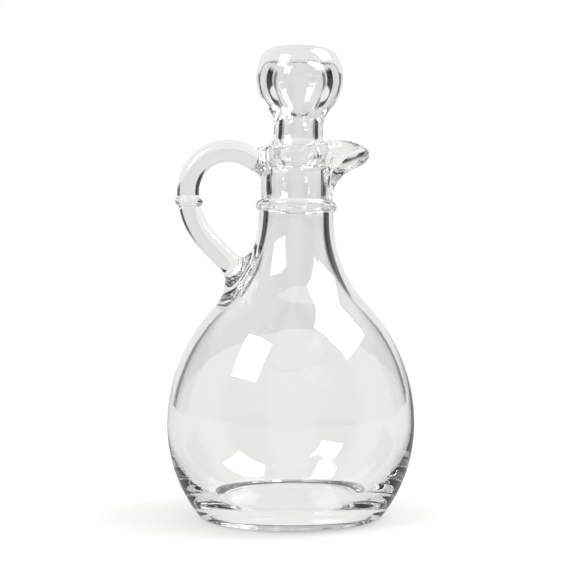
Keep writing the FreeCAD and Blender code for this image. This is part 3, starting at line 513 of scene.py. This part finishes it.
class CRUET_OT_stopper(bpy.types.Operator):
    """Build the hollow stopper that rests in the neck"""

    bl_idname = "cruet.stopper"
    bl_label = "Stopper"

    def execute(self, context):
        s, p = context.scene.cruet_bottle, context.scene.cruet_stopper
        outside = knob_outline(p.knob_radius, p.knob_level, p.top_level, p.waist, p.waist_curve, 155.0)
        plug = [(10.15, 153.4), (10.6, 151.5), (11.3, 149.7), (11.9, 148.2), (p.plug_top, p.plug_top_level)]
        for share in (0.4, 0.8):
            plug.append((
                p.plug_top + (p.plug_foot - p.plug_top) * share,
                p.plug_top_level + (p.plug_foot_level - p.plug_top_level) * share,
            ))
        foot = [(p.plug_foot, p.plug_foot_level + 0.5), (p.plug_foot - 0.5, p.plug_foot_level)]
        foot += [(p.plug_bore + 0.5, p.plug_foot_level), (p.plug_bore, p.plug_foot_level + 0.5)]
        bore = [(p.plug_bore - 0.4, 145.0), (p.plug_bore - 0.9, 149.0)]
        hollow = knob_outline(
            p.knob_radius - p.knob_wall,
            p.hollow_level,
            p.top_level - p.top_wall,
            p.waist_bore,
            p.hollow_curve,
            154.0,
        )
        mesh = bmesh.new()
        swell = 3 / (2 + math.cos(2 * math.pi / COLUMNS))
        grid = []
        for radius, height in joined(outside, plug, foot, bore, hollow[::-1]):
            ring = [place(radius * swell, 2 * math.pi * c / COLUMNS, height, s) for c in range(COLUMNS)]
            grid.append([mesh.verts.new(point) for point in ring])
        for upper, lower in zip(grid, grid[1:]):
            band(mesh, upper, lower)
        mesh.faces.new(grid[0])
        mesh.faces.new(grid[-1][::-1])
        stopper = finish_mesh(mesh, "cruet_stopper")
        stopper.data.materials.append(soda_lime_glass(context.scene.cruet_finish))
        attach(stopper, "root")
        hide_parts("stopper")
        return {"FINISHED"}


# ---------------------------------------------------------------- finishes


def linear(colour):
    """An sRGB hex colour as linear RGBA."""
    parts = [int(colour[k:k + 2], 16) / 255 for k in (1, 3, 5)]
    return tuple(c / 12.92 if c <= 0.04045 else ((c + 0.055) / 1.055) ** 2.4 for c in parts) + (1.0,)


def add_node(tree, kind, settings=(), **inputs):
    """Adds a node, sets its own settings, and sets or links its inputs."""
    node = tree.nodes.new(kind)
    for name, value in dict(settings).items():
        setattr(node, name, value)
    for name, value in inputs.items():
        socket = node.inputs[int(name[1:]) if name[1:].isdigit() else name.replace("_", " ")]
        if isinstance(value, bpy.types.NodeSocket):
            tree.links.new(value, socket)
        else:
            socket.default_value = value
    return node


def new_tree(holder):
    """An empty node tree for a material or a world."""
    holder.use_nodes = True
    holder.node_tree.nodes.clear()
    return holder.node_tree


GLASS_NAME = "Soda-lime glass, blown and fire polished"
GLASS_DENSITY = 2.5  # for each metre of glass
WAVE_WIDTH, WAVE_HEIGHT, WAVE_DEPTH = 26 * MM, 6 * MM, 0.04 * MM  # the gentle waves that blowing leaves


def soda_lime_glass(finish):
    """Clear soda-lime glass, blown in a mould and fire polished."""
    made = bpy.data.materials.get(GLASS_NAME)
    if made:
        return made
    made = bpy.data.materials.new(GLASS_NAME)
    tree = new_tree(made)
    # Fire polishing leaves no grain, so the surface is mirror smooth. Blowing leaves it gently uneven, in long
    # waves round the glass, about 26 mm wide and 6 mm high and some hundredths of a millimetre deep.
    spot = add_node(tree, "ShaderNodeTexCoord").outputs["Object"]
    wave = (1 / WAVE_WIDTH, 1 / WAVE_WIDTH, 1 / WAVE_HEIGHT)
    stretched = add_node(tree, "ShaderNodeMapping", Vector=spot, Scale=wave).outputs[0]
    noise = add_node(tree, "ShaderNodeTexNoise", Vector=stretched, Scale=1.0, Detail=1.0, Roughness=0.4)
    waves = noise.outputs["Fac"]
    uneven = add_node(tree, "ShaderNodeBump", Height=waves, Strength=1.0, Distance=WAVE_DEPTH).outputs[0]
    glass = add_node(
        tree,
        "ShaderNodeBsdfPrincipled",
        Base_Color=linear(finish.glass),
        Roughness=0.0,
        IOR=1.52,
        Transmission_Weight=1.0,
        Normal=uneven,
    )
    # Light goes through clear glass, so its shadow is pale.
    path = add_node(tree, "ShaderNodeLightPath")
    clear = add_node(tree, "ShaderNodeBsdfTransparent", Color=linear(finish.shadow))
    mixed = add_node(
        tree, "ShaderNodeMixShader", _0=path.outputs["Is Shadow Ray"], _1=glass.outputs[0], _2=clear.outputs[0]
    )
    # Thick glass takes up a little light, which greys the foot, the handle and the rim.
    deep = linear(finish.deep_glass)
    depth = add_node(tree, "ShaderNodeVolumeAbsorption", Color=deep, Density=GLASS_DENSITY)
    add_node(tree, "ShaderNodeOutputMaterial", Surface=mixed.outputs[0], Volume=depth.outputs[0])
    return made


# ---------------------------------------------------------------- studio


# Greys of what the glass shows of the studio. The first number is degrees sideways from straight behind the
# bottle, or degrees up for FLAG_UPWARD.
FLAG_SIDEWAYS = ((0, 0), (29, 0), (32, 1), (64, 1), (70, 0))
FLAG_UPWARD = ((0, 0.7), (2, 1), (24, 1), (32, 0))
BACKDROP = ((0, 0.8), (104, 0.8), (114, 0.12), (150, 0.12), (158, 0.68), (180, 0.68))
MIRRORED = ((0, 0.9), (55, 0.9), (80, 0.3), (110, 0.05), (180, 0.05))
FLAG_BLACK, WORLD_LIGHT = 0.01, 0.9
TABLE_MIRRORED, TABLE_THROUGH_GLASS = 0.45, 0.92  # how bright the table looks in a reflection and through glass
SHADOW_ENDS = (0.1, 0.35)  # m from the middle of the table, where its shadow begins to fade and is gone


def grey(level):
    """A grey as linear RGBA."""
    return (level, level, level, 1)


def grey_steps(tree, value, full, stops):
    """A grey that changes smoothly through stops, where value 1 stands for full degrees."""
    node = add_node(tree, "ShaderNodeValToRGB", Fac=value)
    elements = node.color_ramp.elements
    while len(elements) < len(stops):
        elements.new(0.5)
    for element, (degrees, level) in zip(elements, stops):
        element.position = degrees / full
        element.color = grey(level)
    return node.outputs[0]


def mix_colours(tree, share, first, second):
    """The first colour where share is 0 and the second where it is 1."""
    return add_node(tree, "ShaderNodeMix", {"data_type": "RGBA"}, _0=share, _6=first, _7=second).outputs[2]


def softbox(name, azimuth, elevation, distance, width, height, power):
    """A rectangular lamp aimed at the bottle. Azimuth 0 is in front, and positive is to the right."""
    lamp = bpy.data.lights.new(name, "AREA")
    lamp.shape = "RECTANGLE"
    lamp.size, lamp.size_y = width, height
    lamp.energy = power
    thing = bpy.data.objects.new(name, lamp)
    bpy.context.scene.collection.objects.link(thing)
    a, e = math.radians(azimuth), math.radians(elevation)
    way = Vector((math.sin(a) * math.cos(e), -math.cos(a) * math.cos(e), math.sin(e)))
    thing.location = Vector((0, 0, 0.09)) + way * distance
    thing.rotation_mode = "QUATERNION"
    thing.rotation_quaternion = way.to_track_quat("Z", "Y")


def studio_world(scene):
    """White to the eye. Through the glass it is a white backdrop with dark flags beside it."""
    world = bpy.data.worlds.new("Studio")
    scene.world = world
    tree = new_tree(world)
    way = add_node(tree, "ShaderNodeTexCoord").outputs["Generated"]
    parts = add_node(tree, "ShaderNodeSeparateXYZ", Vector=way).outputs
    turn = add_node(tree, "ShaderNodeMath", {"operation": "ARCTAN2"}, _0=parts["X"], _1=parts["Y"]).outputs[0]
    away = add_node(tree, "ShaderNodeMath", {"operation": "ABSOLUTE"}, _0=turn).outputs[0]
    across = add_node(tree, "ShaderNodeMath", {"operation": "DIVIDE"}, _0=away, _1=math.pi).outputs[0]
    climb = add_node(tree, "ShaderNodeMath", {"operation": "ARCSINE"}, _0=parts["Z"]).outputs[0]
    upward = add_node(tree, "ShaderNodeMath", {"operation": "DIVIDE"}, _0=climb, _1=math.pi / 2).outputs[0]
    flag_sideways = grey_steps(tree, across, 180, FLAG_SIDEWAYS)
    flag_upward = grey_steps(tree, upward, 90, FLAG_UPWARD)
    flags = add_node(tree, "ShaderNodeMath", {"operation": "MULTIPLY"}, _0=flag_sideways, _1=flag_upward).outputs[0]
    backdrop = grey_steps(tree, across, 180, BACKDROP)
    mirrored = grey_steps(tree, across, 180, MIRRORED)
    path = add_node(tree, "ShaderNodeLightPath").outputs
    through = mix_colours(tree, flags, backdrop, grey(FLAG_BLACK))
    seen = mix_colours(tree, path["Is Transmission Ray"], mirrored, through)
    lit = mix_colours(tree, path["Is Glossy Ray"], grey(WORLD_LIGHT), seen)
    all_ways = mix_colours(tree, path["Is Camera Ray"], lit, grey(1))
    shown = add_node(tree, "ShaderNodeBackground", Color=all_ways, Strength=1.0)
    add_node(tree, "ShaderNodeOutputWorld", Surface=shown.outputs[0])


def matt_table(finish):
    """White matt laminate. It keeps the soft shadow of the glass, and glass shows it as plain white."""
    made = bpy.data.materials.new("White matt laminate")
    tree = new_tree(made)
    surface = add_node(tree, "ShaderNodeBsdfDiffuse", Color=linear(finish.floor))
    path = add_node(tree, "ShaderNodeLightPath").outputs
    seen = mix_colours(tree, path["Is Transmission Ray"], grey(TABLE_MIRRORED), grey(TABLE_THROUGH_GLASS))
    shade = mix_colours(tree, path["Is Glossy Ray"], grey(1), seen)
    glow = add_node(tree, "ShaderNodeEmission", Color=shade, Strength=1.0)
    # The shadow shows only near the foot. Further out the table is plain white.
    spot = add_node(tree, "ShaderNodeNewGeometry").outputs["Position"]
    reach = add_node(tree, "ShaderNodeVectorMath", {"operation": "LENGTH"}, _0=spot).outputs["Value"]
    near, far = SHADOW_ENDS
    plain = add_node(
        tree, "ShaderNodeMapRange", {"interpolation_type": "SMOOTHSTEP"}, _0=reach, _1=near, _2=far, _3=0.4, _4=1.0
    ).outputs[0]
    eye = add_node(tree, "ShaderNodeMath", {"operation": "MULTIPLY"}, _0=path["Is Camera Ray"], _1=plain).outputs[0]
    share = add_node(tree, "ShaderNodeMath", {"operation": "MAXIMUM"}, _0=eye, _1=path["Is Glossy Ray"]).outputs[0]
    mixed = add_node(tree, "ShaderNodeMixShader", _0=share, _1=surface.outputs[0], _2=glow.outputs[0])
    add_node(tree, "ShaderNodeOutputMaterial", Surface=mixed.outputs[0])
    return made


class CRUET_OT_stage(bpy.types.Operator):
    """Lay the table and set up the studio light and the camera"""

    bl_idname = "cruet.stage"
    bl_label = "Table, light and camera"

    def execute(self, context):
        scene = context.scene
        mesh = bmesh.new()
        bmesh.ops.create_grid(mesh, x_segments=8, y_segments=8, size=6.0)
        data = bpy.data.meshes.new("table_top")
        mesh.to_mesh(data)
        mesh.free()
        table = bpy.data.objects.new("table_top", data)
        table.location.z = -0.0002
        data.materials.append(matt_table(scene.cruet_finish))
        scene.collection.objects.link(table)
        studio_world(scene)
        softbox("Key softbox left", -50, 40, 1.2, 0.55, 0.6, 9)
        softbox("Fill softbox right", 90, 52, 1.2, 0.75, 0.7, 12)
        camera = bpy.data.objects.new("Camera", bpy.data.cameras.new("Camera"))
        camera.location = (-0.0011, -0.505, 0.0925)
        camera.rotation_euler = (math.pi / 2, 0, 0)
        camera.data.lens = 77.55
        camera.data.sensor_width = 36.0
        camera.data.clip_start = 0.01
        scene.collection.objects.link(camera)
        scene.camera = camera
        scene.view_settings.view_transform = "Standard"
        # Light turns back many times inside thick glass before it leaves.
        scene.cycles.max_bounces, scene.cycles.glossy_bounces, scene.cycles.transmission_bounces = 28, 20, 20
        scene.cycles.caustics_reflective = scene.cycles.caustics_refractive = False
        return {"FINISHED"}


class CRUET_PT_sidebar(bpy.types.Panel):
    """Lists the settings and the steps"""

    bl_label = "Glass oil cruet"
    bl_idname = "CRUET_PT_sidebar"
    bl_space_type = "VIEW_3D"
    bl_region_type = "UI"
    bl_category = "Cruet"

    def draw(self, context):
        for kind in STEPS:
            self.layout.operator(kind.bl_idname)
        for name in SETTINGS:
            group = getattr(context.scene, name)
            box = self.layout.box()
            for key in group.__annotations__:
                box.prop(group, key)


SETTINGS = {
    "cruet_bottle": CruetBottleSettings,
    "cruet_handle": CruetHandleSettings,
    "cruet_stopper": CruetStopperSettings,
    "cruet_finish": CruetFinishSettings,
}
STEPS = (CRUET_OT_bottle, CRUET_OT_stopper, CRUET_OT_stage)


def register():
    """Registers the classes and puts the settings on the scene."""
    for kind in (*SETTINGS.values(), *STEPS, CRUET_PT_sidebar):
        bpy.utils.register_class(kind)
    for name, kind in SETTINGS.items():
        setattr(bpy.types.Scene, name, bpy.props.PointerProperty(type=kind))


def unregister():
    """Takes away what register put there."""
    for name in SETTINGS:
        delattr(bpy.types.Scene, name)
    for kind in reversed((*SETTINGS.values(), *STEPS, CRUET_PT_sidebar)):
        bpy.utils.unregister_class(kind)


def main():
    """Builds the cruet and its studio."""
    register()
    bpy.ops.cruet.bottle()
    bpy.ops.cruet.stopper()
    bpy.ops.cruet.stage()
    bpy.context.view_layer.update()


if __name__ == "__main__":
    main()
